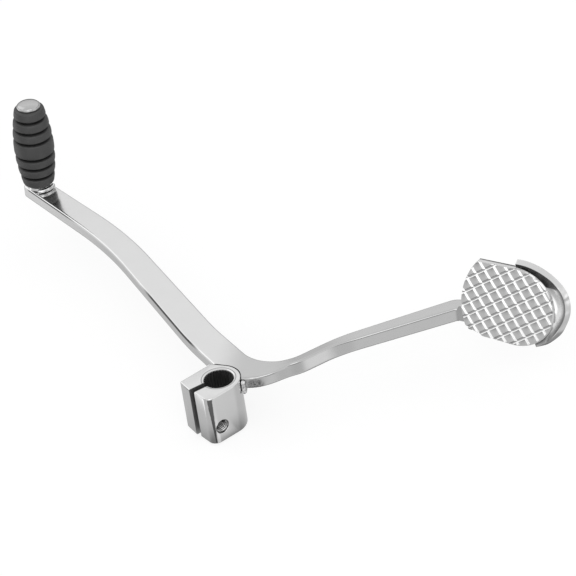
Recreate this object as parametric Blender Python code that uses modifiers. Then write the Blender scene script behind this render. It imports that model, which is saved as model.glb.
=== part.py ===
# Heel-and-toe gear shift lever of a motorcycle.
# A bent flat bar is welded to a split clamp that grips the splined shift shaft. The toe end
# carries a pin with a grooved rubber, the heel end a chequered plate with a turned-up lip.
#
# Frame: metres, origin on the shaft bore's axis at the clamp's inboard face. +Z runs outboard
# along the bore, -X points out of the clamp's slit, +Y points roughly along the toe arm.

import math

import bmesh
import bpy
from mathutils import Matrix, Vector

mm = 0.001
deg = math.pi / 180.0

# Clearances between pieces that touch
weld_gap = 0.3 * mm
cut_margin = 2.0 * mm

# Shaft clamp
bore_diameter = 12.0 * mm
spline_teeth = 30
spline_depth = 0.35 * mm
bore_chamfer = 0.7 * mm
clamp_height = 22.2 * mm
ring_radius = 8.7 * mm
ear_reach = 12.9 * mm
right_ear_reach = 12.3 * mm
right_ear_turn = 6.0 * deg
left_flank = 10.1 * mm
flank_skew = 7.5 * deg
back_corner_reach = 4.0 * mm
ear_corner_radius = 3.4 * mm
slit_width = 2.6 * mm
clamp_edge = 0.5 * mm
bolt_tapped_diameter = 5.2 * mm
bolt_clearance_diameter = 6.6 * mm
bolt_countersink = 0.6 * mm
bolt_offset = 6.3 * mm
bolt_height = 7.0 * mm

# Lever bar: its outer edge is a path of runs and bends, and its width lies inside that edge
bar_thickness = 5.3 * mm
heel_thickness = 6.4 * mm
bar_edge_radius = 0.8 * mm
bar_drop = 0.2 * mm
bar_offset = 16.75 * mm
hub_bend_radius = 16.6 * mm
hub_bend_rise = 8.3 * mm
hub_run = 16.0 * mm
arm_bend_radius = 150.0 * mm
arm_bend_angle = 5.1 * deg
arm_run = 55.0 * mm
toe_bend_radius = 215.0 * mm
toe_bend_angle = 11.3 * deg
toe_run = 43.0 * mm
neck_run = 9.0 * mm
heel_bend_radius = 76.0 * mm
heel_bend_angle = 12.1 * deg
heel_run = 40.3 * mm
pad_bend_radius = 7.6 * mm
pad_bend_angle = 46.3 * deg
pad_run = 23.0 * mm
toe_width = 9.9 * mm
hub_width = 13.3 * mm
neck_width = 5.0 * mm
heel_width = 6.8 * mm
toe_roll = 3.5 * deg
neck_roll = 11.0 * deg
toe_corner_radius = 2.0 * mm
seat_depth = 1.0 * mm
# Shares of the hub bend at which the bar starts to narrow and to roll, and their lengths. Half of
# the heel arm's extra thickness comes as it rolls, and half as it widens again.
narrow_start = 0.25
narrow_length = 0.57
roll_start = 0.55
roll_length = 0.3
# Share of the heel arm over which it widens again
widen_length = 0.67
# Shares of the toe corners' radius where their stations lie, and the least gap before them
corner_marks = (1.0, 0.93, 0.7, 0.35, 0.0)
station_gap = 0.1 * mm

# Toe pin and its rubber. The pin leans back a little from square to the bar, which opens its
# seat by the extra gap.
pin_inset = 6.2 * mm
pin_lean = 0.5 * deg
pin_seat_gap = 0.4 * mm
pin_diameter = 8.0 * mm
spigot_diameter = 6.0 * mm
collar_diameter = 10.4 * mm
collar_height = 1.7 * mm
head_diameter = 10.2 * mm
head_rim = 0.9 * mm
head_dome = 1.2 * mm
rubber_length = 37.0 * mm
rubber_diameter = 17.3 * mm
rubber_top_diameter = 12.4 * mm
rubber_foot_diameter = 13.0 * mm
rubber_corner = 1.0 * mm
groove_width = 1.2 * mm
groove_depth = 1.1 * mm
groove_spacing = 4.9 * mm
middle_band = 7.8 * mm
middle_rise = 0.25 * mm
grooves_each_side = 3

# Heel plate, measured from the middle of its round end
sheet_thickness = 2.4 * mm
pad_tilt = 11.1 * deg
pad_along = 25.6 * mm
pad_up = 6.3 * mm
pad_round_radius = 17.0 * mm
pad_top_reach = 15.6 * mm
pad_top_height = 17.35 * mm
pad_left_bulge = 4.1 * mm
pad_low_reach = 21.5 * mm
pad_low_height = 11.8 * mm
pad_bottom_reach = 14.0 * mm
pad_bottom_height = 15.4 * mm
pad_bottom_turn = -95.0 * deg
pad_top_rise = -0.15 * mm
# The lip's form from its bottom end to its top end: angle round the plate, flare from the
# plate's flat, and height above it
lip_stations = (
    (-60.0 * deg, 20.0 * deg, 0.3 * mm),
    (-33.0 * deg, 42.0 * deg, 1.2 * mm),
    (-12.0 * deg, 46.0 * deg, 3.3 * mm),
    (6.0 * deg, 33.0 * deg, 4.1 * mm),
    (25.0 * deg, 30.0 * deg, 4.6 * mm),
    (50.0 * deg, 35.0 * deg, 3.1 * mm),
    (87.0 * deg, 45.0 * deg, 1.3 * mm),
)
lip_bend_radius = 2.0 * mm
chequer_pitch = 4.52 * mm
chequer_turn = 32.8 * deg
chequer_shift = 0.6 * mm
chequer_cross_shift = -1.7 * mm
chequer_flat = 2.4 * mm
chequer_height = 0.9 * mm
chequer_web = 0.1 * mm
chequer_inset = 0.5 * mm
chequer_margin = 0.15 * mm
# The groove cutters stand above the tread by this much, and neighbours stay apart
groove_overshoot = 0.5 * mm

# Weld beads
bead_radius = 0.8 * mm
pad_bead_radius = 1.1 * mm
pin_bead_radius = 0.9 * mm
pin_bead_reach = 4.3 * mm
bead_top_drop = 0.6 * mm
right_bead_turn = -45.0 * deg
pad_bead_lead = 3.3 * mm
pad_bead_clear = 0.8 * mm

bar_top = clamp_height - bar_drop
bar_bottom = bar_top - bar_thickness
bore_radius = bore_diameter / 2.0
lip_end = lip_stations[0][0]
lip_start = lip_stations[-1][0]


def clear_scene():
    for item in list(bpy.data.objects):
        bpy.data.objects.remove(item, do_unlink=True)


def make_collection(name):
    collection = bpy.data.collections.new(name)
    bpy.context.scene.collection.children.link(collection)
    return collection


def make_material(name, color, metallic, roughness):
    material = bpy.data.materials.new(name)
    material.use_nodes = True
    shader = material.node_tree.nodes["Principled BSDF"]
    shader.inputs["Base Color"].default_value = (*color, 1.0)
    shader.inputs["Metallic"].default_value = metallic
    shader.inputs["Roughness"].default_value = roughness
    material.diffuse_color = (*color, 1.0)
    return material


def add_object(name, mesh, collection, material=None):
    item = bpy.data.objects.new(name, mesh)
    collection.objects.link(item)
    if material is not None:
        mesh.materials.append(material)
    return item


def add_cutter(name, mesh):
    item = add_object(name, mesh, cutters)
    item.hide_render = True
    item.display_type = "WIRE"
    return item


def mesh_from(bm, name):
    bmesh.ops.recalc_face_normals(bm, faces=bm.faces)
    mesh = bpy.data.meshes.new(name)
    bm.to_mesh(mesh)
    bm.free()
    return mesh


def boolean(item, tool, operation="DIFFERENCE"):
    modifier = item.modifiers.new(tool.name, "BOOLEAN")
    modifier.operation = operation
    modifier.object = tool


def smooth(item, angle):
    item.data.shade_smooth()
    item.data.set_sharp_from_angle(angle=angle)


def arc(center, radius, start, end, steps):
    # Points on a circle from one angle to another, both ends included
    points = []
    for step in range(steps + 1):
        turn = start + (end - start) * step / steps
        points.append(Vector((center[0] + radius * math.cos(turn), center[1] + radius * math.sin(turn))))
    return points


def smooth_step(value):
    value = max(0.0, min(1.0, value))
    return value * value * (3.0 - 2.0 * value)


def prism(outline, bottom, top, name):
    # An upright solid on a flat outline
    bm = bmesh.new()
    face = bm.faces.new([bm.verts.new((point[0], point[1], bottom)) for point in outline])
    grown = bmesh.ops.extrude_face_region(bm, geom=[face])
    lifted = [part for part in grown["geom"] if isinstance(part, bmesh.types.BMVert)]
    bmesh.ops.translate(bm, verts=lifted, vec=(0.0, 0.0, top - bottom))
    return mesh_from(bm, name)


def cylinder(name, radius_low, radius_high, height, center, turn=None, segments=32):
    # A round solid centred on a point, along Z unless it is turned
    bm = bmesh.new()
    bmesh.ops.create_cone(bm, cap_ends=True, segments=segments, radius1=radius_low,
                          radius2=radius_high, depth=height)
    place = Matrix.Translation(center)
    if turn is not None:
        place = place @ turn
    bmesh.ops.transform(bm, matrix=place, verts=bm.verts)
    return mesh_from(bm, name)


def turned(name, profile, collection, material, steps, closed=False):
    # A profile of (radius, height) points, run down its outer side and turned about Z
    mesh = bpy.data.meshes.new(name)
    points = [(radius, 0.0, height) for radius, height in profile]
    edges = [(index, index + 1) for index in range(len(points) - 1)]
    if closed:
        edges.append((len(points) - 1, 0))
    mesh.from_pydata(points, edges, [])
    item = add_object(name, mesh, collection, material)
    screw = item.modifiers.new("turn", "SCREW")
    screw.steps = steps
    screw.render_steps = steps
    screw.use_merge_vertices = True
    screw.merge_threshold = 0.00001
    screw.use_smooth_shade = True
    return item


# Shaft clamp

def line_crossing(first, first_distance, second, second_distance):
    # Where two lines meet, each given by its unit normal and its distance along it
    area = first.x * second.y - first.y * second.x
    return Vector(((first_distance * second.y - second_distance * first.y) / area,
                   (first.x * second_distance - second.x * first_distance) / area))


def clamp_outline(grow):
    # Seen from outboard: front face, left flank, back corner, round back and right flank. The
    # block is skewed about the bore, so the flanks aren't square to the front face. The right
    # ear's front is a little shorter and turned, and the step to it lies inside the slit.
    radius = ring_radius + grow
    reach = ear_reach + grow
    flank = left_flank + grow
    along = Vector((math.cos(flank_skew), math.sin(flank_skew)))
    across = Vector((-math.sin(flank_skew), math.cos(flank_skew)))

    def on_flank(distance, x):
        # The point of a flank line, at a distance from the bore's axis, that has this x
        base = across * distance
        return base + along * ((x - base.x) / along.x)

    corner = across * flank + along * (back_corner_reach + grow)
    join = math.acos(min(1.0, radius / corner.length))
    start = math.atan2(corner.y, corner.x) - join
    round_back = arc((0.0, 0.0), radius, start, flank_skew - math.pi / 2.0, 20)

    # The right ear's corner is an arc that touches the ear's front line and the flank line. Each
    # line is given by its outward direction and its distance from the bore's axis.
    ear_radius = ear_corner_radius + grow
    front = Vector((-math.cos(right_ear_turn), -math.sin(right_ear_turn)))
    slit_corner = Vector((-right_ear_reach, -slit_width / 4.0))
    front_distance = front.dot(slit_corner) + grow
    ear_center = line_crossing(front, front_distance - ear_radius, -across, radius - ear_radius)
    ear_corner = arc(ear_center, ear_radius, flank_skew - math.pi / 2.0,
                     right_ear_turn - math.pi, 5)
    step = [slit_corner + front * grow, Vector((-reach, slit_width / 4.0))]
    front_left = on_flank(flank, -reach)
    return [front_left] + [corner] + round_back + ear_corner + step


def spline_profile():
    # The shaft bore with its serrations, two points for each tooth
    points = []
    for tooth in range(spline_teeth):
        for half in (0, 1):
            turn = 2.0 * math.pi * (tooth + half / 2.0) / spline_teeth
            radius = bore_radius - half * spline_depth
            points.append(Vector((radius * math.cos(turn), radius * math.sin(turn))))
    return points


def make_clamp():
    body = add_object("shaft_clamp", prism(clamp_outline(0.0), 0.0, clamp_height, "shaft_clamp"),
                      parts, plated_steel)
    edges = body.modifiers.new("edges", "BEVEL")
    edges.width = clamp_edge
    edges.segments = 2
    edges.limit_method = "ANGLE"
    edges.angle_limit = 40.0 * deg

    bore = prism(spline_profile(), -cut_margin, clamp_height + cut_margin, "bore")
    boolean(body, add_cutter("bore", bore))

    # A cone at each end of the bore, wide end outwards
    cone_length = bore_chamfer + cut_margin
    wide = bore_radius + cone_length
    for name, level, low, high in (("mouth_out", clamp_height, bore_radius, wide),
                                   ("mouth_in", 0.0, wide, bore_radius)):
        outwards = 1.0 if level > 0.0 else -1.0
        middle = level + outwards * (cut_margin - bore_chamfer) / 2.0
        cone = cylinder(name, low, high, cone_length, (0.0, 0.0, middle), segments=60)
        boolean(body, add_cutter(name, cone))

    slit_end = -bore_radius / 2.0
    slit = [(-ear_reach - cut_margin, -slit_width / 2.0), (slit_end, -slit_width / 2.0),
            (slit_end, slit_width / 2.0), (-ear_reach - cut_margin, slit_width / 2.0)]
    boolean(body, add_cutter("slit", prism(slit, -cut_margin, clamp_height + cut_margin, "slit")))

    # The pinch bolt lies square to the slit: plain hole in the left ear, thread in the right
    across = Matrix.Rotation(90.0 * deg, 4, "X")
    outer = left_flank + cut_margin
    tapped = cylinder("bolt_tapped", bolt_tapped_diameter / 2.0, bolt_tapped_diameter / 2.0,
                      outer, (-bolt_offset, -outer / 2.0, bolt_height), across, 24)
    boolean(body, add_cutter("bolt_tapped", tapped))
    plain = cylinder("bolt_plain", bolt_clearance_diameter / 2.0, bolt_clearance_diameter / 2.0,
                     outer, (-bolt_offset, outer / 2.0, bolt_height), across, 24)
    boolean(body, add_cutter("bolt_plain", plain))

    # The countersink follows the right flank, and its cone starts inside the tapped hole
    face_y = -(ring_radius + bolt_offset * math.sin(flank_skew)) / math.cos(flank_skew)
    small = bolt_tapped_diameter / 2.0
    depth = bolt_countersink + cut_margin
    turn = Matrix.Rotation(flank_skew, 4, "Z") @ across
    inward = Vector((-math.sin(flank_skew), math.cos(flank_skew), 0.0))
    mouth = Vector((-bolt_offset, face_y, bolt_height)) + inward * (bolt_countersink - depth / 2.0)
    sink = cylinder("bolt_sink", small, small + depth, depth, mouth, turn, 24)
    boolean(body, add_cutter("bolt_sink", sink))
    smooth(body, 25.0 * deg)
    return body


# Lever bar

def walk(moves, place, heading, step_length=12.0 * mm, step_turn=6.0 * deg):
    # Follows runs and bends from a start, and returns (point, heading, distance) stations
    stations = []
    distance = 0.0
    for kind, size, turn in moves:
        length = size
        steps = 1
        if kind == "bend":
            length = size * abs(turn)
            steps = max(2, math.ceil(abs(turn) / step_turn))
        steps = max(steps, math.ceil(length / step_length))
        for step in range(steps):
            part = step / steps
            stations.append(walk_point(kind, size, turn, place, heading, part)
                            + (distance + part * length,))
        place, heading = walk_point(kind, size, turn, place, heading, 1.0)
        distance += length
    stations.append((place, heading, distance))
    return stations


def walk_point(kind, size, turn, place, heading, part):
    ahead = Vector((math.cos(heading), math.sin(heading)))
    if kind == "run":
        return place + ahead * size * part, heading
    side = 1.0 if turn > 0.0 else -1.0
    center = place + Vector((-ahead.y, ahead.x)) * size * side
    new_heading = heading + turn * part
    spoke = Vector((math.sin(new_heading), -math.cos(new_heading))) * size * side
    return center + spoke, new_heading


def toe_path():
    # The outer edge from the hub bend out to the toe, then turned round to start at the toe
    moves = [("run", hub_run, 0.0), ("bend", arm_bend_radius, -arm_bend_angle),
             ("run", arm_run, 0.0), ("bend", toe_bend_radius, toe_bend_angle),
             ("run", toe_run, 0.0)]
    return walk(moves, Vector((bar_offset, hub_bend_rise)), math.pi / 2.0)


def heel_path():
    # The outer edge from the hub bend round to the heel plate
    moves = [("bend", hub_bend_radius, math.pi / 2.0), ("run", neck_run, 0.0),
             ("bend", heel_bend_radius, -heel_bend_angle), ("run", heel_run, 0.0),
             ("bend", pad_bend_radius, -pad_bend_angle), ("run", pad_run, 0.0)]
    return walk(moves, Vector((bar_offset, hub_bend_rise)), -math.pi / 2.0)


def bar_stations():
    # One entry for each section: outer edge point, inward direction, width, thickness and roll
    sections = []
    toe = toe_path()
    total = toe[-1][2]
    toe_bend_start = hub_run + arm_bend_radius * arm_bend_angle + arm_run
    end_place, end_heading, _ = toe[-1]
    ahead = Vector((math.cos(end_heading), math.sin(end_heading)))
    # The last stations are close together and round the bar's corners off in plan
    toe_stations = [entry for entry in toe
                    if entry[2] < total - toe_corner_radius - station_gap]
    for mark in corner_marks:
        back = toe_corner_radius * mark
        toe_stations.append((end_place - ahead * back, end_heading, total - back))
    for place, heading, distance in reversed(toe_stations[1:]):
        part = distance / total
        width = hub_width + (toe_width - hub_width) * part
        inward = Vector((-math.sin(heading), math.cos(heading)))
        reach = max(0.0, distance - (total - toe_corner_radius)) / toe_corner_radius
        trim = toe_corner_radius * (1.0 - math.sqrt(max(0.0, 1.0 - reach * reach)))
        roll = toe_roll * smooth_step((distance - toe_bend_start) / (total - toe_bend_start))
        sections.append((place + inward * trim, inward, width - 2.0 * trim, bar_thickness, roll))

    heel = heel_path()
    hub_length = hub_bend_radius * math.pi / 2.0
    neck_end = hub_length + neck_run
    total = heel[-1][2]
    for place, heading, distance in heel:
        inward = Vector((math.sin(heading), -math.cos(heading)))
        part = distance / hub_length
        narrow = smooth_step((part - narrow_start) / narrow_length)
        width = hub_width + (neck_width - hub_width) * narrow
        widen = max(0.0, (distance - neck_end) / (total - neck_end))
        widen = min(1.0, widen / widen_length)
        width += (heel_width - neck_width) * widen
        rise = smooth_step((part - roll_start) / roll_length)
        fall = smooth_step((distance - neck_end) / (heel_bend_radius * heel_bend_angle))
        thickness = bar_thickness + (heel_thickness - bar_thickness) * (rise + widen) / 2.0
        sections.append((place, inward, width, thickness, neck_roll * rise * (1.0 - fall)))
    return sections


def section_ring(place, inward, width, thickness, roll):
    # A rounded rectangle across the bar, rolled about its own middle
    half_w = width / 2.0
    half_t = thickness / 2.0
    core_height = bar_top - bar_thickness / 2.0
    radius = bar_edge_radius
    middle = place + inward * half_w
    ring = []
    for side_w, side_t, first in ((1, 1, 0.0), (-1, 1, 90.0), (-1, -1, 180.0), (1, -1, 270.0)):
        for turn in (first, first + 45.0, first + 90.0):
            across = side_w * (half_w - radius) + radius * math.cos(turn * deg)
            up = side_t * (half_t - radius) + radius * math.sin(turn * deg)
            rolled = across * math.cos(roll) - up * math.sin(roll)
            lifted = across * math.sin(roll) + up * math.cos(roll)
            flat = middle + inward * rolled
            ring.append(Vector((flat.x, flat.y, core_height + lifted)))
    return ring


def pad_frame():
    # The heel plate's own frame: X along the bar's last run, Y up the plate, Z out of its tread.
    # Its origin is on the bar's top edge where that run starts, at the seat on the bar.
    heel = heel_path()
    end_place, heading, _ = heel[-1]
    along = Vector((math.cos(heading), math.sin(heading), 0.0))
    inward = Vector((math.sin(heading), -math.cos(heading), 0.0))
    start = Vector((end_place.x, end_place.y, 0.0)) - along * pad_run
    seat = start + inward * (heel_width - seat_depth)
    seat.z = bar_top - bar_thickness / 2.0
    normal = inward * math.cos(pad_tilt) + Vector((0.0, 0.0, math.sin(pad_tilt)))
    up = normal.cross(along)
    seat += up * (bar_thickness / 2.0)
    turn = Matrix((along, up, normal)).transposed().to_4x4()
    return Matrix.Translation(seat) @ turn


def make_bar():
    bm = bmesh.new()
    rings = [[bm.verts.new(point) for point in section_ring(*section)] for section in bar_stations()]
    count = len(rings[0])
    for first, second in zip(rings, rings[1:]):
        for index in range(count):
            after = (index + 1) % count
            bm.faces.new((first[index], first[after], second[after], second[index]))
    bm.faces.new(rings[0])
    bm.faces.new(rings[-1])
    bar = add_object("lever_bar", mesh_from(bm, "lever_bar"), parts, plated_steel)

    seat = prism(clamp_outline(weld_gap), bar_bottom - cut_margin, bar_top + cut_margin, "clamp_seat")
    boolean(bar, add_cutter("clamp_seat", seat))

    # The plate's back face, moved back by the gap, trims the bar into a flat seat. The block
    # starts just before the plate's free edge, so the heel arm is cut only beside the plate.
    reach = pad_run
    block_start = pad_along - pad_low_reach - pad_left_bulge
    block = bmesh.new()
    bmesh.ops.create_cube(block, size=2.0)
    size = Matrix.Diagonal((reach, reach, heel_width, 1.0))
    lift = Matrix.Translation((block_start + reach, 0.0, heel_width - weld_gap))
    bmesh.ops.transform(block, matrix=pad_frame() @ lift @ size, verts=block.verts)
    boolean(bar, add_cutter("plate_seat", mesh_from(block, "plate_seat")))

    frame = pin_frame()
    hole = cylinder("pin_hole", spigot_diameter / 2.0 + weld_gap, spigot_diameter / 2.0 + weld_gap,
                    bar_thickness + 2.0 * cut_margin, (0.0, 0.0, -bar_thickness / 2.0), None, 24)
    hole.transform(frame)
    boolean(bar, add_cutter("pin_hole", hole))
    smooth(bar, 30.0 * deg)
    return bar


# Toe pin and rubber

def pin_frame():
    # Z along the pin, origin on the bar's top face under the pin
    place, heading, _ = toe_path()[-1]
    ahead = Vector((math.cos(heading), math.sin(heading)))
    inward = Vector((-math.sin(heading), math.cos(heading)))
    roll = toe_roll - pin_lean
    middle = place - ahead * pin_inset + inward * (toe_width / 2.0)
    up = Vector((-inward.x * math.sin(roll), -inward.y * math.sin(roll), math.cos(roll)))
    side = Vector((inward.x * math.cos(roll), inward.y * math.cos(roll), math.sin(roll)))
    fore = up.cross(side)
    core = Vector((middle.x, middle.y, bar_top - bar_thickness / 2.0))
    turn = Matrix((side, fore, up)).transposed().to_4x4()
    return Matrix.Translation(core + up * (bar_thickness / 2.0)) @ turn


def rubber_radius(height):
    # A barrel: a straight taper from foot to top, with a parabola on it up to the middle
    part = height / rubber_length
    taper = rubber_foot_diameter + (rubber_top_diameter - rubber_foot_diameter) * part
    swell = rubber_diameter - (rubber_foot_diameter + rubber_top_diameter) / 2.0
    return (taper + swell * 4.0 * part * (1.0 - part)) / 2.0


def rubber_profile():
    # Down the outer side with its grooves, then back up the bore
    profile = []
    for step in range(4):
        turn = step / 3.0 * math.pi / 2.0
        height = rubber_length - rubber_corner * (1.0 - math.sin(math.pi / 2.0 - turn))
        inset = rubber_corner * (1.0 - math.sin(turn))
        profile.append((rubber_radius(height) - inset, height))
    middle = rubber_length / 2.0 + middle_rise
    centers = []
    for index in range(grooves_each_side):
        offset = middle_band / 2.0 + groove_spacing * index
        centers += [middle + offset, middle - offset]
    half = groove_width / 2.0
    for index, center in enumerate(sorted(centers, reverse=True)):
        floor = rubber_radius(center) - groove_depth
        profile.append((rubber_radius(center + half), center + half))
        profile.append((floor, center + half / 2.0))
        profile.append((floor, center - half / 2.0))
        profile.append((rubber_radius(center - half), center - half))
        if index == grooves_each_side - 1:
            profile.append((rubber_radius(middle), middle))
    for step in range(4):
        turn = step / 3.0 * math.pi / 2.0
        height = rubber_corner * (1.0 - math.sin(turn))
        inset = rubber_corner * (1.0 - math.cos(turn))
        profile.append((rubber_radius(height) - inset, height))
    hole = pin_diameter / 2.0 + weld_gap
    profile += [(hole, 0.0), (hole, rubber_length)]
    return profile


def make_pin():
    pin = turned("toe_pin", pin_profile(), parts, plated_steel, 32)
    pin.matrix_world = pin_frame()
    return pin


def pin_profile():
    body = pin_diameter / 2.0
    collar = collar_diameter / 2.0
    head = head_diameter / 2.0
    collar_top = pin_seat_gap + collar_height
    head_low = collar_top + weld_gap + rubber_length + weld_gap
    rim_top = head_low + head_rim
    profile = []
    for step in range(5):
        turn = step / 4.0 * math.pi / 2.0
        profile.append((head * math.sin(turn), rim_top + head_dome * math.cos(turn)))
    profile += [(head, head_low), (body, head_low), (body, collar_top), (collar, collar_top),
                (collar, pin_seat_gap), (spigot_diameter / 2.0, pin_seat_gap),
                (spigot_diameter / 2.0, -bar_thickness), (0.0, -bar_thickness)]
    return profile


def make_rubber():
    rubber = turned("toe_rubber", rubber_profile(), parts, rubber_black, 32, closed=True)
    lift = Matrix.Translation((0.0, 0.0, pin_seat_gap + collar_height + weld_gap))
    rubber.matrix_world = pin_frame() @ lift
    return rubber


# Heel plate

def lip_shape(turn):
    # Flare and height of the lip at one angle, between the two stations on either side of it
    for low, high in zip(lip_stations, lip_stations[1:]):
        if turn <= high[0]:
            break
    way = smooth_step((turn - low[0]) / (high[0] - low[0]))
    flare = low[1] + (high[1] - low[1]) * way
    height = low[2] + (high[2] - low[2]) * way
    return flare, height


def lip_row(turn):
    # Inner points of the lip above the bend line at one angle: the bend, then the flare
    flare, height = lip_shape(turn)
    row = []
    for part in (0.5, 1.0):
        bend = flare * part
        row.append((lip_bend_radius * math.sin(bend), lip_bend_radius * (1.0 - math.cos(bend))))
    bend_out, bend_up = row[-1]
    slope = max(0.0, height - bend_up) / math.sin(flare)
    row.append((bend_out + slope * math.cos(flare), bend_up + slope * math.sin(flare)))
    points = []
    for out, up in row:
        reach = pad_round_radius + out
        points.append(Vector((reach * math.cos(turn), reach * math.sin(turn), up)))
    return points


def left_edge_points():
    # The bulging free edge on the bar's side: an arc through three points
    top = Vector((-pad_top_reach, pad_top_height))
    low = Vector((-pad_low_reach, -pad_low_height))
    chord = low - top
    middle = (top + low) / 2.0
    outwards = Vector((chord.y, -chord.x)).normalized()
    if outwards.x > 0.0:
        outwards = -outwards
    radius = (chord.length_squared / 4.0 + pad_left_bulge ** 2) / (2.0 * pad_left_bulge)
    center = middle - outwards * (radius - pad_left_bulge)
    start = math.atan2(top.y - center.y, top.x - center.x)
    end = math.atan2(low.y - center.y, low.x - center.x)
    if end < start:
        end += 2.0 * math.pi
    return arc(center, radius, start, end, 8)


def free_edges():
    # The plate's straight and bulging edges, from the lip's upper end to the lower round
    upper = [Vector((0.0, pad_round_radius + pad_top_rise))]
    lower = [Vector((-pad_bottom_reach, -pad_bottom_height))]
    return upper + left_edge_points() + lower


def make_plate():
    place = pad_frame() @ Matrix.Translation((pad_along, pad_up, sheet_thickness))
    steps = 22
    bm = bmesh.new()
    bend_line = []
    rows = []
    for step in range(steps + 1):
        turn = lip_end + (lip_start - lip_end) * step / steps
        spot = (pad_round_radius * math.cos(turn), pad_round_radius * math.sin(turn), 0.0)
        bend_line.append(bm.verts.new(spot))
        rows.append([bm.verts.new(point) for point in lip_row(turn)])
    lower_round = arc((0.0, 0.0), pad_round_radius, pad_bottom_turn, lip_end, 4)[:-1]
    free = [bm.verts.new((point.x, point.y, 0.0)) for point in free_edges() + lower_round]
    bm.faces.new(bend_line + free)
    for step in range(steps):
        low = [bend_line[step]] + rows[step]
        high = [bend_line[step + 1]] + rows[step + 1]
        for index in range(len(low) - 1):
            bm.faces.new((low[index], low[index + 1], high[index + 1], high[index]))
    mesh = mesh_from(bm, "heel_plate")
    if mesh.polygons[0].normal.z < 0.0:
        mesh.flip_normals()
    mesh.transform(place)
    plate = add_object("heel_plate", mesh, parts, plated_steel)
    solid = plate.modifiers.new("sheet", "SOLIDIFY")
    solid.thickness = sheet_thickness
    solid.offset = -1.0
    solid.use_even_offset = True

    boolean(plate, add_cutter("chequer", chequer_mesh(place)), "UNION")
    smooth(plate, 20.0 * deg)
    return plate


def chequer_mesh(place):
    # The tread: a low slab inside the flat, crossed by two sets of V grooves
    outline = arc((0.0, 0.0), pad_round_radius - chequer_inset, pad_bottom_turn, lip_start, 26)
    outline += [point - point.normalized() * chequer_margin for point in free_edges()]
    slab = prism(outline, -chequer_web, chequer_height + chequer_web, "chequer_slab")
    field = add_object("chequer_slab", slab, cutters)

    grooves = bmesh.new()
    count = math.ceil((pad_low_reach + pad_left_bulge) * math.sqrt(2.0) / chequer_pitch)
    reach = count * chequer_pitch
    half = (chequer_pitch - chequer_flat) / 2.0
    top = chequer_web + chequer_height + groove_overshoot
    wide = half * (chequer_height + groove_overshoot) / chequer_height
    section = [(0.0, chequer_web), (wide, top), (-wide, top)]
    for row in range(-count, count + 1):
        middle = row * chequer_pitch
        ends = []
        for end in (-reach, reach):
            ends.append([grooves.verts.new((end, middle + across, up)) for across, up in section])
        grooves.faces.new(ends[0])
        grooves.faces.new(ends[1])
        for index in range(3):
            after = (index + 1) % 3
            grooves.faces.new((ends[0][index], ends[0][after], ends[1][after], ends[1][index]))
    rows = mesh_from(grooves, "groove_rows")
    for name, turn, shift in (("grooves_one", chequer_turn, chequer_shift),
                              ("grooves_two", chequer_turn + 90.0 * deg, chequer_cross_shift)):
        copy = rows.copy()
        copy.transform(Matrix.Rotation(turn, 4, "Z") @ Matrix.Translation((0.0, shift, 0.0)))
        boolean(field, add_cutter(name, copy))

    bpy.context.view_layer.update()
    depsgraph = bpy.context.evaluated_depsgraph_get()
    mesh = bpy.data.meshes.new_from_object(field.evaluated_get(depsgraph))
    mesh.transform(place)
    bpy.data.objects.remove(field)
    for name in ("grooves_one", "grooves_two"):
        bpy.data.objects.remove(bpy.data.objects[name])
    return mesh


# Weld beads

def bead(name, points, radius):
    curve = bpy.data.curves.new(name, "CURVE")
    curve.dimensions = "3D"
    curve.bevel_depth = radius
    curve.bevel_resolution = 2
    curve.use_fill_caps = True
    line = curve.splines.new("POLY")
    line.points.add(len(points) - 1)
    for spot, point in zip(line.points, points):
        spot.co = (point.x, point.y, point.z, 1.0)
    guide = add_object(name + "_guide", curve, cutters)
    bpy.context.view_layer.update()
    depsgraph = bpy.context.evaluated_depsgraph_get()
    mesh = bpy.data.meshes.new_from_object(guide.evaluated_get(depsgraph))
    bm = bmesh.new()
    bm.from_mesh(mesh)
    bmesh.ops.remove_doubles(bm, verts=bm.verts, dist=0.00001)
    bmesh.ops.recalc_face_normals(bm, faces=bm.faces)
    bm.to_mesh(mesh)
    bm.free()
    item = add_object(name, mesh, parts, weld_steel)
    item.matrix_world = guide.matrix_world
    bpy.data.objects.remove(guide)
    smooth(item, 50.0 * deg)
    return item


def make_clamp_bead():
    # Down the right crevice, round under the bar against the clamp, and up the left crevice
    offset = weld_gap + bead_radius
    low = bar_bottom - offset
    high = bar_top - bead_top_drop
    radius = ring_radius + offset
    grown = clamp_outline(offset)
    corner = grown[1]
    start = math.atan2(corner.y, corner.x) - math.acos(min(1.0, radius / corner.length))
    flat = arc((0.0, 0.0), radius, right_bead_turn, start, 16)
    left_x = bar_offset - hub_width - offset
    flank = grown[0] + (corner - grown[0]) * ((left_x - grown[0].x) / (corner.x - grown[0].x))
    flat += [corner, flank]
    points = [Vector((flat[0].x, flat[0].y, high))]
    points += [Vector((point.x, point.y, low)) for point in flat]
    points += [Vector((flat[-1].x, flat[-1].y, high))]
    return bead("clamp_weld", points, bead_radius)


def make_pin_bead():
    # An arc on the bar's top face round the hub side of the collar, as wide as the flat there
    ring = collar_diameter / 2.0 + weld_gap + pin_bead_radius
    start = math.acos(pin_bead_reach / ring)
    frame = pin_frame()
    flat = arc((0.0, 0.0), ring, start, math.pi - start, 8)
    points = [frame @ Vector((point.x, point.y, weld_gap + pin_bead_radius)) for point in flat]
    return bead("pin_weld", points, pin_bead_radius)


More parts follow.
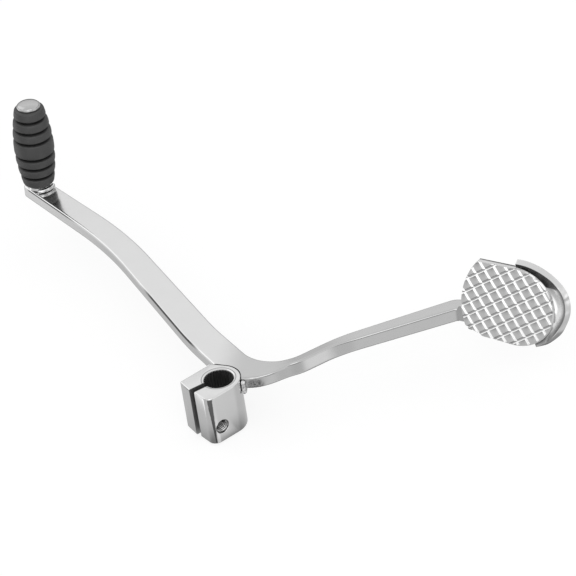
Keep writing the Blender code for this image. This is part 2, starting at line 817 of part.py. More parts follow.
def make_pad_bead():
    # A U round the bar's end on the plate's back: top seam, end and bottom seam
    offset = weld_gap + pad_bead_radius
    frame = pad_frame()
    end = pad_run + offset + weld_gap
    spread = (heel_thickness - bar_thickness) / 2.0
    low = -bar_thickness - spread - offset - pad_bead_clear
    high = spread + offset + weld_gap / 2.0
    flat = [(pad_bead_lead, high), (end, high), (end, low), (pad_bead_lead, low)]
    return bead("pad_weld", [frame @ Vector((x, y, -offset)) for x, y in flat], pad_bead_radius)


clear_scene()
parts = make_collection("gear_shift_lever")
cutters = make_collection("cutters")
plated_steel = make_material("plated_steel", (0.78, 0.78, 0.79), 1.0, 0.12)
weld_steel = make_material("plated_weld", (0.62, 0.62, 0.63), 1.0, 0.25)
rubber_black = make_material("rubber_black", (0.045, 0.045, 0.047), 0.0, 0.55)

make_clamp()
make_bar()
make_pin()
make_rubber()
make_plate()
make_clamp_bead()
make_pin_bead()
make_pad_bead()
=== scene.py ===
import bmesh
import bpy
import numpy as np
from mathutils import Matrix


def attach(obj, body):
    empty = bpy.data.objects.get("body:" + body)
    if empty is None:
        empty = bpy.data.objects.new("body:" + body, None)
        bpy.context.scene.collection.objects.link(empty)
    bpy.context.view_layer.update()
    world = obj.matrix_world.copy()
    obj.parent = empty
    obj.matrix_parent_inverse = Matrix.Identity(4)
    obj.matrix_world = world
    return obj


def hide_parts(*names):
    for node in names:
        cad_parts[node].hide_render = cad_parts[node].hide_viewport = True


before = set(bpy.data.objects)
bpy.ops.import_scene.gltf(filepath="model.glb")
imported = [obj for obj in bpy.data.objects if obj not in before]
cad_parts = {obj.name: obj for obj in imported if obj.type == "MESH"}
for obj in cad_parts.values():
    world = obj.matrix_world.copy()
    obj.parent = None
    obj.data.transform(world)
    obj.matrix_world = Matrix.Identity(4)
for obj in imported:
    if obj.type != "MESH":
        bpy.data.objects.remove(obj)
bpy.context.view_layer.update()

# Sizes are millimetres and degrees, and become metres where a mesh is made
mm = 0.001
deg = np.pi / 180

# Gap between pieces that are joined, and how far a cutting tool stands past what it cuts
weldGap = 0.3
cutMargin = 2.0


# Mesh helpers

def gridFaces(rows, columns, closeRows=False, closeColumns=False):
    # Quads between neighbouring points of a rows by columns grid, wrapped round where asked
    index = np.arange(rows * columns).reshape(rows, columns)
    if closeRows:
        index = np.vstack((index, index[:1]))
    if closeColumns:
        index = np.hstack((index, index[:, :1]))
    corners = (index[:-1, :-1], index[1:, :-1], index[1:, 1:], index[:-1, 1:])
    return np.stack(corners, axis=-1).reshape(-1, 4).tolist()


def makeObject(name, points, faces, sharpAngle=30.0):
    # Millimetre points and faces make one object, with doubles merged and faces outward
    mesh = bpy.data.meshes.new(name)
    mesh.from_pydata((np.asarray(points, float).reshape(-1, 3) * mm).tolist(), [], faces)
    work = bmesh.new()
    work.from_mesh(mesh)
    bmesh.ops.remove_doubles(work, verts=work.verts, dist=1e-7)
    bmesh.ops.recalc_face_normals(work, faces=work.faces)
    work.to_mesh(mesh)
    work.free()
    softenMesh(mesh, sharpAngle)
    return addObject(name, mesh)


def addObject(name, data):
    item = bpy.data.objects.new(name, data)
    bpy.context.scene.collection.objects.link(item)
    return item


def softenMesh(mesh, sharpAngle):
    mesh.shade_smooth()
    mesh.set_sharp_from_angle(angle=sharpAngle * deg)


def bake(piece, sharpAngle=30.0):
    # The modifiers' result becomes the object's own mesh
    bpy.context.view_layer.update()
    depsgraph = bpy.context.evaluated_depsgraph_get()
    mesh = bpy.data.meshes.new_from_object(piece.evaluated_get(depsgraph))
    piece.modifiers.clear()
    piece.data = mesh
    softenMesh(mesh, sharpAngle)
    return piece


def combine(piece, tools, operation="DIFFERENCE", sharpAngle=30.0):
    # Exact booleans with each tool in turn, after which the tools are gone
    for tool in tools:
        modifier = piece.modifiers.new(tool.name, "BOOLEAN")
        modifier.operation = operation
        modifier.object = tool
    bake(piece, sharpAngle)
    for tool in tools:
        bpy.data.objects.remove(tool)
    return piece


def bevelEdges(piece, width, segments, limit):
    modifier = piece.modifiers.new("edges", "BEVEL")
    modifier.width = width * mm
    modifier.segments = segments
    modifier.limit_method = "ANGLE"
    modifier.angle_limit = limit * deg
    modifier.miter_outer = "MITER_ARC"


def tube(name, rings):
    # Rings of points joined up, with a face across each end
    stations, count = rings.shape[:2]
    faces = gridFaces(stations, count, closeColumns=True)
    faces += [list(range(count)), list(range((stations - 1) * count, stations * count))]
    return makeObject(name, rings, faces)


def prism(name, outline, bottom, top):
    # An outline of (x, y) points carried straight up from one height to another
    return tube(name, np.stack((atHeight(outline, bottom), atHeight(outline, top))))


def atHeight(outline, height):
    return np.column_stack((outline, np.full(len(outline), height)))


def carry(points, place):
    # Points given in a place's own axes, in the lever's axes
    return points.reshape(-1, 3) @ place[:3, :3].T + place[:3, 3]


def circle(segments):
    return np.linspace(0, 2 * np.pi, segments, endpoint=False)


def revolve(name, radii, heights, place, segments=96, closeProfile=False, sharpAngle=30.0):
    # Each profile point (radius, height) sweeps a circle about Z, then goes to its place. A
    # point may have a row of radii instead, one for each segment.
    turn = circle(segments)
    shape = (len(heights), segments)
    radii = np.broadcast_to(np.reshape(radii, (len(heights), -1)), shape)
    heights = np.broadcast_to(np.reshape(heights, (-1, 1)), shape)
    points = np.stack((radii * np.cos(turn), radii * np.sin(turn), heights), axis=-1)
    faces = gridFaces(*shape, closeProfile, closeColumns=True)
    return makeObject(name, carry(points, place), faces, sharpAngle)


def arc(center, radius, start, end, steps):
    turn = np.linspace(start, end, steps + 1) * deg
    return np.column_stack((center[0] + radius * np.cos(turn), center[1] + radius * np.sin(turn)))


def quarterRound(share):
    # How much a quarter circle draws in, at a share of its radius from its end
    return 1 - np.sqrt(1 - np.clip(1 - share, 0, 1) ** 2)


def smoothStep(value):
    value = np.clip(value, 0, 1)
    return value * value * (3 - 2 * value)


def placeMatrix(xAxis, yAxis, zAxis, origin):
    place = np.eye(4)
    place[:3] = np.column_stack((xAxis, yAxis, zAxis, origin))
    return place


def toMatrix(place, unit=mm):
    # A place as a matrix of the scene, whose unit is the metre
    matrix = np.array(place)
    matrix[:3, 3] *= unit
    return Matrix(matrix.tolist())


def runningSum(values):
    return np.concatenate(([0], np.cumsum(values)))


def dress(piece, material, slotName, *nodes):
    # Every piece is one rigid part of the lever, so all ride on the one body
    piece.data.materials.clear()
    piece.data.materials.append(material)
    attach(piece, "root")
    if nodes:
        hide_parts(*nodes)
    print("piece", piece.name, len(piece.data.polygons), "faces")


# Shader helpers

def operator(kind, swapped=False):
    # A method that makes a Math node of a signal and another value
    def method(self, other):
        return self.math(kind, other, self) if swapped else self.math(kind, self, other)
    return method


class Signal:
    # One socket of a node tree, with Python's operators as Math nodes

    def __init__(self, board, socket):
        self.board = board
        self.socket = socket

    def math(self, kind, *values):
        values = dict(enumerate(values))
        return self.board.make("ShaderNodeMath", {"operation": kind}, values, "Value")

    __add__, __radd__ = operator("ADD"), operator("ADD", True)
    __sub__, __rsub__ = operator("SUBTRACT"), operator("SUBTRACT", True)
    __mul__, __rmul__ = operator("MULTIPLY"), operator("MULTIPLY", True)
    __truediv__, __rtruediv__ = operator("DIVIDE"), operator("DIVIDE", True)
    __pow__, arcTangent = operator("POWER"), operator("ARCTAN2")

    def absolute(self):
        return self.math("ABSOLUTE", self)


class Board:
    # A node tree that is filled with one call for each node

    def __init__(self, tree):
        self.tree = tree
        tree.nodes.clear()

    def make(self, nodeType, settings, values, output):
        # Settings come first, where a ramp's stops are pairs of a position and a level
        node = self.tree.nodes.new(nodeType)
        for key, value in settings.items():
            if key == "stops":
                elements = node.color_ramp.elements
                while len(elements) < len(value):
                    elements.new(0.5)
                for element, (position, level) in zip(elements, value):
                    element.position = position
                    element.color = (level, level, level, 1)
            else:
                setattr(node, key, value)
        for key, value in values.items():
            if isinstance(value, Signal):
                self.tree.links.new(value.socket, node.inputs[key])
            else:
                node.inputs[key].default_value = value
        return Signal(self, node.outputs[output])

    def noise(self, vector, scale, detail=3.0, roughness=0.55):
        return self.make("ShaderNodeTexNoise", {}, {
            "Vector": vector, "Scale": scale, "Detail": detail, "Roughness": roughness}, "Fac")

    def remap(self, value, low, high, toLow=0.0, toHigh=1.0):
        return self.make("ShaderNodeMapRange", {"interpolation_type": "SMOOTHSTEP"}, {
            "Value": value, "From Min": low, "From Max": high, "To Min": toLow,
            "To Max": toHigh}, "Result")

    def stretch(self, vector, scale, turn=(0.0, 0.0, 0.0)):
        return self.make("ShaderNodeMapping", {}, {
            "Vector": vector, "Rotation": turn, "Scale": scale}, "Vector")

    def distance(self, vector, point):
        return self.make("ShaderNodeVectorMath", {"operation": "DISTANCE"}, {
            0: vector, 1: [value * mm for value in point]}, "Value")

    def along(self, vector, direction, origin=(0.0, 0.0, 0.0)):
        # How far a place lies along a direction from a millimetre origin, in metres
        direction = np.array(direction, float)
        place = self.make("ShaderNodeVectorMath", {"operation": "DOT_PRODUCT"}, {
            0: vector, 1: direction.tolist()}, "Value")
        return place - float(direction @ np.array(origin)) * mm


def newMaterial(name):
    material = bpy.data.materials.new(name)
    material.use_nodes = True
    board = Board(material.node_tree)
    return material, board, board.make("ShaderNodeTexCoord", {}, {}, "Object")


def linkSurface(board, shader, outputType="ShaderNodeOutputMaterial"):
    output = board.tree.nodes.new(outputType)
    board.tree.links.new(shader.socket, output.inputs["Surface"])


def finishMaterial(material, board, level, rough, height, relief, metallic=1.0):
    # A gray of this level; the relief is the bump's strength and depth
    gray = board.make("ShaderNodeCombineColor", {}, {
        "Red": level, "Green": level, "Blue": level}, "Color")
    bump = board.make("ShaderNodeBump", {}, {
        "Strength": relief[0], "Distance": relief[1] * mm, "Height": height}, "Normal")
    linkSurface(board, board.make("ShaderNodeBsdfPrincipled", {}, {
        "Base Color": gray, "Metallic": metallic, "Roughness": rough, "Normal": bump}, "BSDF"))
    return material


# Finishes

chromeSpec = {
    "level": 0.80, "levelLoss": 0.05, "roughness": 0.11, "roughnessSpread": 0.05,
    "rippleScale": 55.0, "ripple": 0.05, "grainScale": 1500.0, "grain": 0.0006, "patchScale": 160.0,
    "brushScale": (60.0, 4000.0, 4000.0), "brush": 0.0015, "brushRoughness": 0.03,
    "stainScale": 900.0, "stainCore": 0.35, "stainLoss": 0.3, "speckle": (0.42, 0.62),
    "speckleLoss": 0.72, "stainRoughness": 0.25, "stainHeight": 0.35, "relief": (0.35, 0.4),
}


def chromePlate(name, brushTurn=None, stains=(), masks=(), shade=1.0):
    # Bright plate over hand-polished steel: a slow wobble, a fine grain and polishing marks.
    # Each stain is (point, radius): rough unpolished plate beside a weld. Each mask is (function,
    # share, extra roughness): painted light and shade, which takes that share off the level where
    # the function gives one (a negative share paints light on), and adds the roughness there.
    spec = chromeSpec
    material, board, place = newMaterial(name)
    slow = board.noise(place, spec["rippleScale"], detail=2.0)
    fine = board.noise(place, spec["grainScale"], detail=2.0)
    patches = board.noise(place, spec["patchScale"], detail=4.0, roughness=0.6)
    level = spec["level"] * shade * (1.0 - spec["levelLoss"] * patches)
    rough = spec["roughness"] + spec["roughnessSpread"] * patches
    height = slow * spec["ripple"] + fine * spec["grain"]
    if brushTurn is not None:
        brushed = board.stretch(place, spec["brushScale"], turn=(0.0, 0.0, brushTurn * deg))
        marks = board.noise(brushed, 1.0, detail=2.0)
        height = height + marks * spec["brush"]
        rough = rough + marks * spec["brushRoughness"]
    for point, radius in stains:
        reach = radius * mm
        near = board.remap(board.distance(place, point), reach, reach * spec["stainCore"])
        speckle = board.noise(place, spec["stainScale"], detail=4.0, roughness=0.7)
        mask = near * board.remap(speckle, *spec["speckle"])
        level = level * (1.0 - spec["stainLoss"] * near) * (1.0 - spec["speckleLoss"] * mask)
        rough = rough + spec["stainRoughness"] * near
        height = height + spec["stainHeight"] * mask
    # Painted light and shade from the masks
    for shape, share, extra in masks:
        mask = shape(board, place)
        level = level * (1.0 - share * mask)
        rough = rough + extra * mask
    return finishMaterial(material, board, level, rough, height, spec["relief"])


def holeMask(point, kept, radius, soft=0.2):
    # One inside a round hole; the kept axes are the two across it
    def shape(board, place):
        away = board.distance(board.stretch(place, kept), point)
        return board.remap(away, (radius + soft) * mm, radius * mm)
    return shape


def fadeMask(direction, start, end):
    # Rises from none to one between two distances along a direction
    def shape(board, place):
        return board.remap(board.along(place, direction), start * mm, end * mm)
    return shape


def bandMask(direction, low, high, soft, limits):
    # One between two distances along a direction, and kept within limits, each (direction, where
    # it starts, where it is full)
    def shape(board, place):
        height = board.along(place, direction)
        mask = board.remap(height, low * mm, (low + soft) * mm)
        mask = mask * board.remap(height, high * mm, (high - soft) * mm)
        for way, start, full in limits:
            mask = mask * board.remap(board.along(place, way), start * mm, full * mm)
        return mask
    return shape


def ringMask(radius, width, floor, soft=0.1):
    # A thin ring round the bore's axis, above a height
    def shape(board, place):
        away = (board.distance(board.stretch(place, (1, 1, 0)), (0, 0, 0)) - radius * mm).absolute()
        above = board.remap(board.along(place, (0, 0, 1)), floor * mm, (floor + soft) * mm)
        return board.remap(away, width * mm, 0.0) * above
    return shape


# Painted dark reflection down the right ear's corner: left and right bound at height zero and
# their slopes, and where the strip starts and is full
reflectionWedgeSpec = {
    "left": (-1.16, -0.066), "right": (0.4, 0.035), "soft": 0.3, "jitter": 0.6,
    "jitterScale": 600.0, "top": (21.8, 21.4), "corner": (-7.8, -8.2),
}


def reflectionWedgeMask(board, place):
    # The painted dark reflection down the right ear's corner: x less y runs across the corner, and
    # both its bounds open with height. It ends below the top and stays on the corner's own x and y.
    spec = reflectionWedgeSpec
    x, y, z = (board.along(place, axis) for axis in np.eye(3))
    jitter = board.noise(place, spec["jitterScale"]) * spec["jitter"] * mm
    left = (x - y) - (spec["left"][0] * mm + spec["left"][1] * z) - jitter
    right = (spec["right"][0] * mm + spec["right"][1] * z) - (x - y) - jitter
    mask = board.remap(left, 0.0, spec["soft"] * mm) * board.remap(right, 0.0, spec["soft"] * mm)
    for value, (first, last) in ((z, spec["top"]), (y, spec["corner"]), (x, spec["corner"])):
        mask = mask * board.remap(value, first * mm, last * mm)
    return mask


# Angles where the painted shade begins, is full and takes the whole wall. Distances are the band
# below the rim and its softness, the wall's softness, and the clearances at the rim and the flat.
shadeSpec = {
    "start": -52.0, "full": -20.0, "turn": (30.135, 39.875), "foot": 0.2, "wallSoft": 0.3,
    "band": 3.0, "bandSoft": 2.6, "bandShare": 0.8, "rim": (0.02, 0.2), "flat": (0.02, 0.12),
    "side": (-0.4, 0.2), "degree": 8, "samples": 120,
}


def lipReflectionMask(pad):
    # A painted dark reflection on the lip's inner wall. A polynomial of the turn gives how far out
    # its rim is. Past the shade's turn the whole wall is painted dark, and before it only a band
    # below the rim.
    spec = shadeSpec
    turn = np.linspace(plateSpec["lip"][0][0], plateSpec["lip"][-1][0], spec["samples"])
    terms = np.polyfit(turn * deg, plateSpec["round"] + lipRows(turn)[0][-1], spec["degree"])

    def shape(board, place):
        u, v, w = (board.along(place, pad[:3, axis], pad[:3, 3]) for axis in range(3))
        way = v.arcTangent(u)
        rim = float(terms[0]) * mm
        for term in terms[1:]:
            rim = rim * way + float(term) * mm
        reach = (u * u + v * v) ** 0.5
        late = board.remap(way, *(value * deg for value in spec["turn"]))
        start = (plateSpec["round"] + spec["foot"]) * mm * late
        start = start + (rim - spec["band"] * mm) * (1.0 - late)
        soft = spec["wallSoft"] * mm * late + spec["bandSoft"] * mm * (1.0 - late)
        mask = board.remap((reach - start) / soft, 0.0, 1.0)
        for value, key in ((rim - reach, "rim"), (w, "flat"), (u, "side")):
            mask = mask * board.remap(value, spec[key][0] * mm, spec[key][1] * mm)
        mask = mask * (spec["bandShare"] + (1.0 - spec["bandShare"]) * late)
        return mask * board.remap(way, spec["start"] * deg, spec["full"] * deg)
    return shape


beadLook = {
    "scale": 520.0, "span": (0.3, 0.62), "levels": (0.42, 0.96), "roughness": 0.16, "spread": 0.14,
    "relief": (0.55, 0.4),
}


def weldPlate(name):
    # The same plate over a weld bead: grainier, with painted shade in its hollows
    look = beadLook
    material, board, place = newMaterial(name)
    lumps = board.noise(place, look["scale"], detail=4.0, roughness=0.6)
    # Painted shade: darker where the lumps are low, lighter where they are high
    level = board.remap(lumps, *look["span"], *look["levels"])
    rough = look["roughness"] + look["spread"] * lumps
    return finishMaterial(material, board, level, rough, lumps, look["relief"])


rubberLook = {
    "cloudScale": 130.0, "grainScale": 2600.0, "level": 0.034, "cloud": 0.022, "grain": 0.012,
    "grooveShade": 0.85, "grooveSpan": (1.2, 0.6), "roughness": 0.36, "spread": 0.16,
    "relief": (0.35, 0.2),
}


def mouldedRubber(name, pin, grooves, width):
    # Black rubber with a fine grain, with painted shade down in its grooves. A groove is a distance
    # along the pin from the bar's top face.
    look = rubberLook
    material, board, place = newMaterial(name)
    height = board.along(place, pin[:3, 2], pin[:3, 3])
    cloud = board.noise(place, look["cloudScale"], detail=4.0, roughness=0.6)
    grain = board.noise(place, look["grainScale"], roughness=0.6)
    level = look["level"] + look["cloud"] * cloud + look["grain"] * grain
    outer, inner = (width * part * mm for part in look["grooveSpan"])
    # Painted shade in each groove
    for groove in grooves:
        away = (height - groove * mm).absolute()
        level = level * (1.0 - look["grooveShade"] * board.remap(away, outer, inner))
    rough = look["roughness"] + look["spread"] * cloud
    return finishMaterial(material, board, level, rough, grain, look["relief"], metallic=0.0)


# The bar's path

barSpec = {
    "thickness": 5.3, "heelThickness": 6.4, "edge": 0.8, "top": 22.0, "start": (16.75, 8.3),
    # Runs and bends from the toe end to the heel end; a bend is a radius and a left turn
    "toeMoves": (("run", 43.0, 0.0), ("bend", 215.0, -11.3), ("run", 55.0, 0.0),
                 ("bend", 150.0, 5.1), ("run", 16.0, 0.0)),
    "heelMoves": (("bend", 16.6, 90.0), ("run", 9.0, 0.0), ("bend", 76.0, -12.1),
                  ("run", 40.3, 0.0), ("bend", 7.6, -46.3), ("run", 23.0, 0.0)),
    "toeWidth": 9.9, "hubWidth": 13.3, "neckWidth": 5.0, "heelWidth": 6.8,
    "toeRoll": 3.5, "neckRoll": 11.0, "toeCorner": 2.0, "seatDepth": 1.0,
    "narrow": (0.25, 0.57), "roll": (0.55, 0.3), "widen": 0.67, "spacing": 0.8,
    "cornerSteps": 14, "edgeSteps": 7, "flatEdge": 0.2, "roundShare": 0.9, "seatReach": 23.0,
    "samples": 60001,
}


def moveLength(move):
    return move[1] if move[0] == "run" else move[1] * abs(move[2]) * deg


def carryPath():
    # The heading is linear along each run or bend, and the points are the running sum of its
    # direction. The path is then moved so that the hub bend starts at its given point.
    spec = barSpec
    moves = spec["toeMoves"] + spec["heelMoves"]
    knots = runningSum([moveLength(move) for move in moves])
    turns = runningSum([move[2] for move in moves]) * deg
    hub = len(spec["toeMoves"])
    turns = turns - turns[hub] - np.pi / 2
    along = np.linspace(0, knots[-1], spec["samples"])
    heading = np.interp(along, knots, turns)
    middle = (heading[1:] + heading[:-1]) / 2
    x = runningSum(np.cos(middle)) * along[1]
    y = runningSum(np.sin(middle)) * along[1]
    x += spec["start"][0] - np.interp(knots[hub], along, x)
    y += spec["start"][1] - np.interp(knots[hub], along, y)
    return along, heading, x, y, knots, hub


barAlong, barHeading, barX, barY, barKnots, hubKnot = carryPath()
halfThick = barSpec["thickness"] / 2


def headingAxes(heading):
    # Along the path, and into the bar from its outer edge
    along = np.array([np.cos(heading), np.sin(heading), 0.0])
    return along, np.array([np.sin(heading), -np.cos(heading), 0.0])


def padPlaceMatrix():
    # X along the bar's last run, Y up the plate, Z out of its tread; the origin is at the seat
    spec = barSpec
    along, inward = headingAxes(barHeading[-1])
    tilt = plateSpec["tilt"] * deg
    normal = inward * np.cos(tilt) + np.array([0, 0, np.sin(tilt)])
    up = np.cross(normal, along)
    seat = np.array([barX[-1], barY[-1], spec["top"] - halfThick])
    seat = seat - along * spec["heelMoves"][-1][1]
    seat = seat + inward * (spec["heelWidth"] - spec["seatDepth"]) + up * halfThick
    return placeMatrix(along, up, normal, seat)


def barRings():
    # Rings of a rounded rectangle at stations along the path. The last stations to the toe end
    # draw in as a quarter circle, in plan by the corner radius and all round by the edge radius.
    spec = barSpec
    total = barKnots[-1]
    corner = spec["toeCorner"]
    edge = spec["edge"]
    half = spec["spacing"] / 2
    close = corner * (1 - np.cos(np.linspace(0, np.pi / 2, spec["cornerSteps"])))
    s = np.concatenate((close, np.arange(corner + half, total - half, spec["spacing"]), [total]))
    heading, x, y = (np.interp(s, barAlong, values) for values in (barHeading, barX, barY))
    inward = np.column_stack((np.sin(heading), -np.cos(heading)))
    start = np.column_stack((x, y))

    toeTotal = barKnots[hubKnot]
    back = np.clip(toeTotal - s, 0, None)
    ahead = np.clip(s - toeTotal, 0, None)
    hubLength = moveLength(spec["heelMoves"][0])
    neckEnd = hubLength + spec["heelMoves"][1][1]
    width = spec["hubWidth"] + (spec["toeWidth"] - spec["hubWidth"]) * (back / toeTotal)
    narrow = smoothStep((ahead / hubLength - spec["narrow"][0]) / spec["narrow"][1])
    width = width + (spec["neckWidth"] - spec["hubWidth"]) * narrow
    heelLength = total - toeTotal - neckEnd
    widen = np.clip((ahead - neckEnd) / heelLength / spec["widen"], 0, 1)
    width = width + (spec["heelWidth"] - spec["neckWidth"]) * widen
    toeBend = toeTotal - barKnots[2]
    roll = spec["toeRoll"] * smoothStep((back - toeBend) / (toeTotal - toeBend))
    rise = smoothStep((ahead / hubLength - spec["roll"][0]) / spec["roll"][1])
    fall = smoothStep((ahead - neckEnd) / moveLength(spec["heelMoves"][2]))
    roll = (roll + spec["neckRoll"] * rise * (1 - fall)) * deg

    trim = corner * quarterRound(s / corner)
    share = spec["roundShare"]
    drawIn = edge * quarterRound(s / edge) * share
    middle = start + inward * (width / 2)[:, None]
    halfW = width / 2 - trim - drawIn
    growth = (spec["heelThickness"] - spec["thickness"]) / 2 * (rise + widen) / 2
    halfT = halfThick + growth - drawIn
    radius = np.minimum(edge, np.minimum(halfW, halfT) * share)

    # Round each corner, then two more points on the flat that follows it, close to its ends
    rows = []
    steps = spec["edgeSteps"]
    inset = spec["flatEdge"]
    for sideW, sideT, first in ((1, 1, 0), (-1, 1, 90), (-1, -1, 180), (1, -1, 270)):
        for turn in np.linspace(first, first + 90, steps) * deg:
            rows.append((sideW, sideT, np.cos(turn), np.sin(turn), 0.0, 0.0))
        flat = (-sideW, 0.0) if sideW == sideT else (0.0, -sideT)
        rows.append((sideW, sideT, np.cos(turn), np.sin(turn), flat[0] * inset, flat[1] * inset))
        rows.append((flat[0] or sideW, flat[1] or sideT, np.cos(turn), np.sin(turn),
                     -flat[0] * inset, -flat[1] * inset))
    sideW, sideT, cosA, sinA, moveW, moveT = np.array(rows).T
    across = sideW * (halfW - radius)[:, None] + radius[:, None] * cosA + moveW
    up = sideT * (halfT - radius)[:, None] + radius[:, None] * sinA + moveT
    cosR, sinR = np.cos(roll)[:, None], np.sin(roll)[:, None]
    plan = middle[:, None] + inward[:, None] * (across * cosR - up * sinR)[..., None]
    lifted = spec["top"] - halfThick + (across * sinR + up * cosR)
    return np.concatenate((plan, lifted[..., None]), axis=-1)


def makeBar():
    # The rings joined up, with the clamp's seat and the plate's seat cut out
    bar = tube("leverBar", barRings())
    top, bottom = barSpec["top"], barSpec["top"] - barSpec["thickness"]
    outline = clampOutline(weldGap, roundSteps=48)
    seat = prism("clampSeat", outline, bottom - cutMargin, top + cutMargin)
    start = plateSpec["along"] - plateSpec["lowReach"] - plateSpec["leftBulge"]
    corners = np.array([(0, -1), (2, -1), (2, 1), (0, 1)]) * barSpec["seatReach"]
    block = prism("plateSeat", corners + [start, 0], -weldGap, 2 * barSpec["heelWidth"])
    block.data.transform(toMatrix(padPlaceMatrix()))
    return combine(bar, [seat, block])


# Shaft clamp

clampSpec = {
    "height": 22.2, "ring": 8.7, "reach": 12.9, "rightReach": 12.3, "rightTurn": 6.0,
    "flank": 10.1, "skew": 7.5, "back": 4.0, "earCorner": 3.4, "slit": 2.6,
    "edge": 0.5, "bore": 6.0, "teeth": 30, "toothDepth": 0.35, "mouth": 0.7, "mouthLap": 0.15,
    "boltX": -6.3, "boltZ": 7.0, "boltPlain": 3.3, "threadCore": 2.55, "threadOuter": 3.05,
    "threadWall": 0.05, "threadLap": 0.04, "threadSteps": 48, "crestGain": 1.25, "crestCut": 0.1,
    "threadEnd": 0.1, "pitch": 1.0, "sink": 0.6, "slitReach": 16.0, "earReach": 14.0,
}


def touchTurn(corner, radius):
    # Where a line from a corner touches a circle round the bore's axis
    join = np.arccos(min(1.0, radius / np.hypot(*corner)))
    return (np.arctan2(corner[1], corner[0]) - join) / deg


def clampOutline(grow, roundSteps=64):
    # Front face, left flank, back corner, round back, right flank and rounded right ear corner.
    # A flank line is at a set distance from the bore's axis and is turned by the skew.
    spec = clampSpec
    radius = spec["ring"] + grow
    reach = spec["reach"] + grow
    flank = spec["flank"] + grow
    skew = spec["skew"] * deg
    along = np.array([np.cos(skew), np.sin(skew)])
    across = np.array([-np.sin(skew), np.cos(skew)])

    def onFlank(distance, x):
        base = across * distance
        return base + along * ((x - base[0]) / along[0])

    corner = across * flank + along * (spec["back"] + grow)
    roundBack = arc((0, 0), radius, touchTurn(corner, radius), spec["skew"] - 90, roundSteps)
    # The right ear's corner touches its front line and the flank line: each is a unit normal
    # and a distance from the axis, and the arc's center solves both, moved in by its radius
    earRadius = spec["earCorner"] + grow
    turn = spec["rightTurn"] * deg
    front = np.array([-np.cos(turn), -np.sin(turn)])
    slitCorner = np.array([-spec["rightReach"], -spec["slit"] / 4])
    earCenter = np.linalg.solve(np.array([front, -across]),
                                np.array([front @ slitCorner + grow, radius]) - earRadius)
    earCorner = arc(earCenter, earRadius, spec["skew"] - 90, spec["rightTurn"] - 180,
                    roundSteps // 4)
    step = np.array([slitCorner + front * grow, (-reach, spec["slit"] / 4)])
    return np.vstack((onFlank(flank, -reach), corner, roundBack, earCorner, step))


def makeClamp():
    # The outline carried up, then cut by the bore, its two mouths, the slit and the bolt's holes
    spec = clampSpec
    clamp = prism("shaftClamp", clampOutline(0.0), 0.0, spec["height"])
    bevelEdges(clamp, spec["edge"], segments=4, limit=40)
    bake(clamp)

    # Bore with rounded serrations: the radius swings between root and tooth once per tooth
    low, high = -cutMargin, spec["height"] + cutMargin
    turn = circle(spec["teeth"] * 8)
    radius = spec["bore"] - spec["toothDepth"] * (0.5 + 0.5 * np.cos(turn * spec["teeth"]))
    outline = np.column_stack((radius * np.cos(turn), radius * np.sin(turn)))
    tools = [prism("boreTool", outline, low, high)]
    mouth, lap = spec["mouth"], spec["mouthLap"]
    for name, level, way in (("mouthTop", spec["height"], 1.0), ("mouthLow", 0.0, -1.0)):
        # The mouth's profile swells like a quarter round, so its rim is soft
        swing = np.linspace(0, np.pi / 2, 6)
        radii = spec["bore"] - lap + (mouth + lap) * (1 - np.cos(swing))
        depth = mouth * (np.sin(swing) - 1)
        radii = np.concatenate(([0], radii, [spec["bore"] + mouth, 0]))
        heights = level + way * np.concatenate(([-mouth], depth, [cutMargin, cutMargin]))
        tools.append(revolve(name, radii, heights, np.eye(4), segments=120))
    slitEnd, half, far = -spec["bore"] / 2, spec["slit"] / 2, spec["slitReach"]
    slit = [(-far, -half), (slitEnd, -half), (slitEnd, half), (-far, half)]
    tools.append(prism("slitTool", slit, low, high))

    # Both ears' holes lie along Y: the thread in the right ear, a plain hole in the left one
    place = placeMatrix((1, 0, 0), (0, 0, 1), (0, 1, 0), (spec["boltX"], 0, spec["boltZ"]))
    for name, radius, low, high in (("threadTool", spec["threadOuter"], -spec["earReach"], 0),
                                    ("plainTool", spec["boltPlain"], 0, spec["earReach"])):
        heights = [low, low, high, high]
        tools.append(revolve(name, [0, radius, radius, 0], heights, place, segments=64))
    skew = spec["skew"] * deg
    outward = np.array([np.sin(skew), -np.cos(skew), 0])
    faceY = -(spec["ring"] - spec["boltX"] * np.sin(skew)) / np.cos(skew)
    sinkPlace = placeMatrix((np.cos(skew), np.sin(skew), 0), (0, 0, 1), outward,
                            (spec["boltX"], faceY, spec["boltZ"]))
    small, sink = spec["threadCore"], spec["sink"]
    tools.append(revolve("sinkTool", [0, small, small + sink + cutMargin, 0],
                         [-sink, -sink, cutMargin, cutMargin], sinkPlace, segments=64))
    combine(clamp, tools)
    return clamp, place, faceY


def makeThread(place, faceY):
    # The inner radius swings with length and turn, which makes a helix, and the swing is cut off
    # near both ends, which makes flat crests and roots. The outside is plain.
    spec = clampSpec
    segments = spec["threadSteps"]
    end = faceY + spec["sink"] + spec["threadEnd"]
    length = np.arange(-spec["slit"] / 2, end, -spec["pitch"] / 8)
    phase = (length[:, None] / spec["pitch"] + circle(segments) / (2 * np.pi)) % 1.0
    depth = spec["threadOuter"] - spec["threadCore"] - spec["threadWall"]
    swing = np.clip(spec["crestGain"] * np.abs(2 * phase - 1) - spec["crestCut"], 0, 1)
    outer = np.full((len(length), segments), spec["threadOuter"] + spec["threadLap"])
    radii = np.vstack((spec["threadCore"] + depth * swing, outer))
    heights = np.concatenate((length, length[::-1]))
    return revolve("pinchThread", radii, heights, place, segments, closeProfile=True, sharpAngle=50)


# Toe pin and rubber

